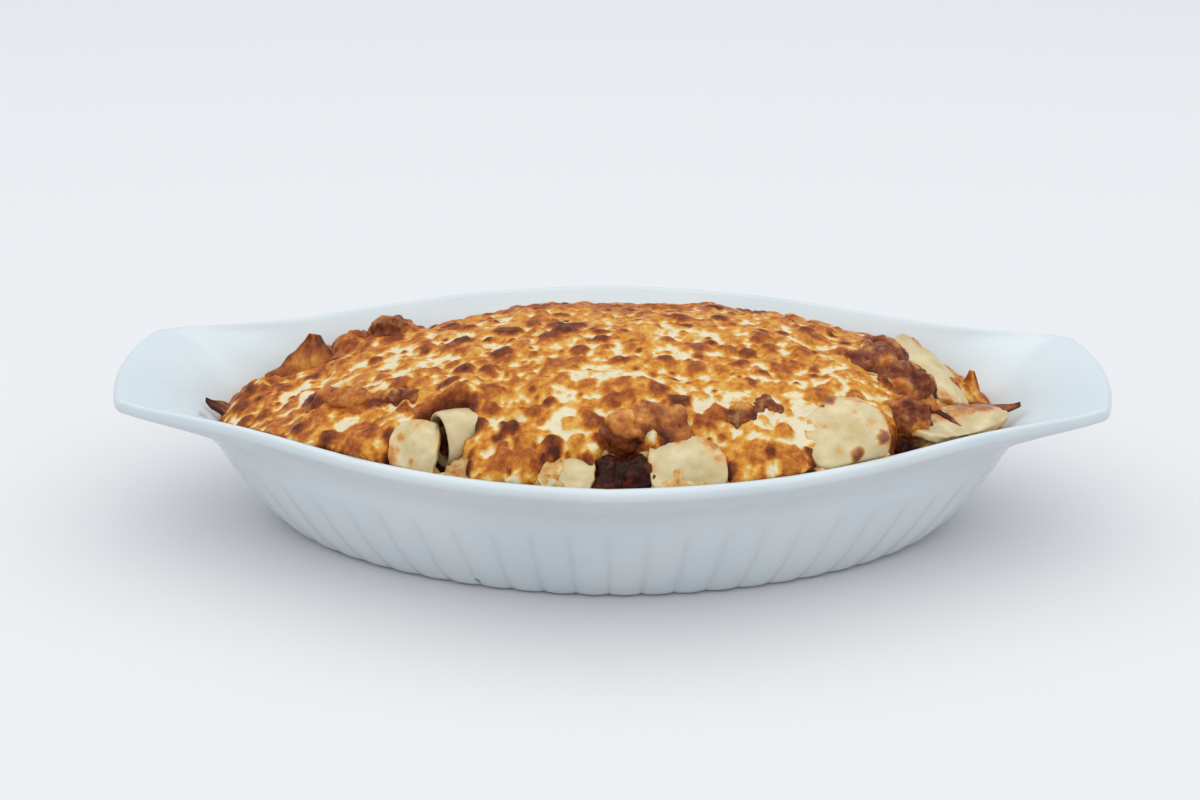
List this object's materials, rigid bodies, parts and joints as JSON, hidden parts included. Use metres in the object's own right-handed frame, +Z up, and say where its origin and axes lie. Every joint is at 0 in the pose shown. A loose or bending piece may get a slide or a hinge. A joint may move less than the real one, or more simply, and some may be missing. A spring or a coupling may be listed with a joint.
{
  "type": "baked lasagna",
  "caption": "Baked lasagna in its oval eared gratin dish: a domed filling under browned melted cheese, with folds of pasta and minced meat showing at the edge.",
  "frame": {"origin": "middle of the dish's foot, on the surface that it stands on", "axes": "+X along the dish from ear to ear, to the right as the picture sees it; -Y is the front; +Z up"},
  "size_m": [0.2798, 0.155, 0.0627],
  "materials": {
    "porcelain": "white porcelain under a clear glossy glaze",
    "filling": "moist meat sauce and pasta, baked",
    "cheese": "melted cheese, cream to brown, slightly oily",
    "pasta": "cooked pasta, pale yellow, moist",
    "meat": "minced meat in sauce, dark red-brown, moist",
    "crust": "hard-baked cheese crust, orange to dark brown"
  },
  "bodies": {
    "root": {"dish": "porcelain", "filling": "filling", "cheese": "cheese", "pasta_roll": "pasta", "pasta_left": "pasta", "pasta_middle": "pasta", "pasta_crater": "pasta", "pasta_front": "pasta", "pasta_strip": "pasta", "pasta_edge": "pasta", "meat_crater": "meat", "meat_arch": "crust", "meat_middle": "meat", "meat_right": "meat", "meat_strip": "meat", "meat_left": "meat", "meat_back": "meat", "crisp_left": "crust", "crisp_tip": "crust", "crisp_right": "crust", "crisp_edge": "crust"}
  },
  "joints": []
}
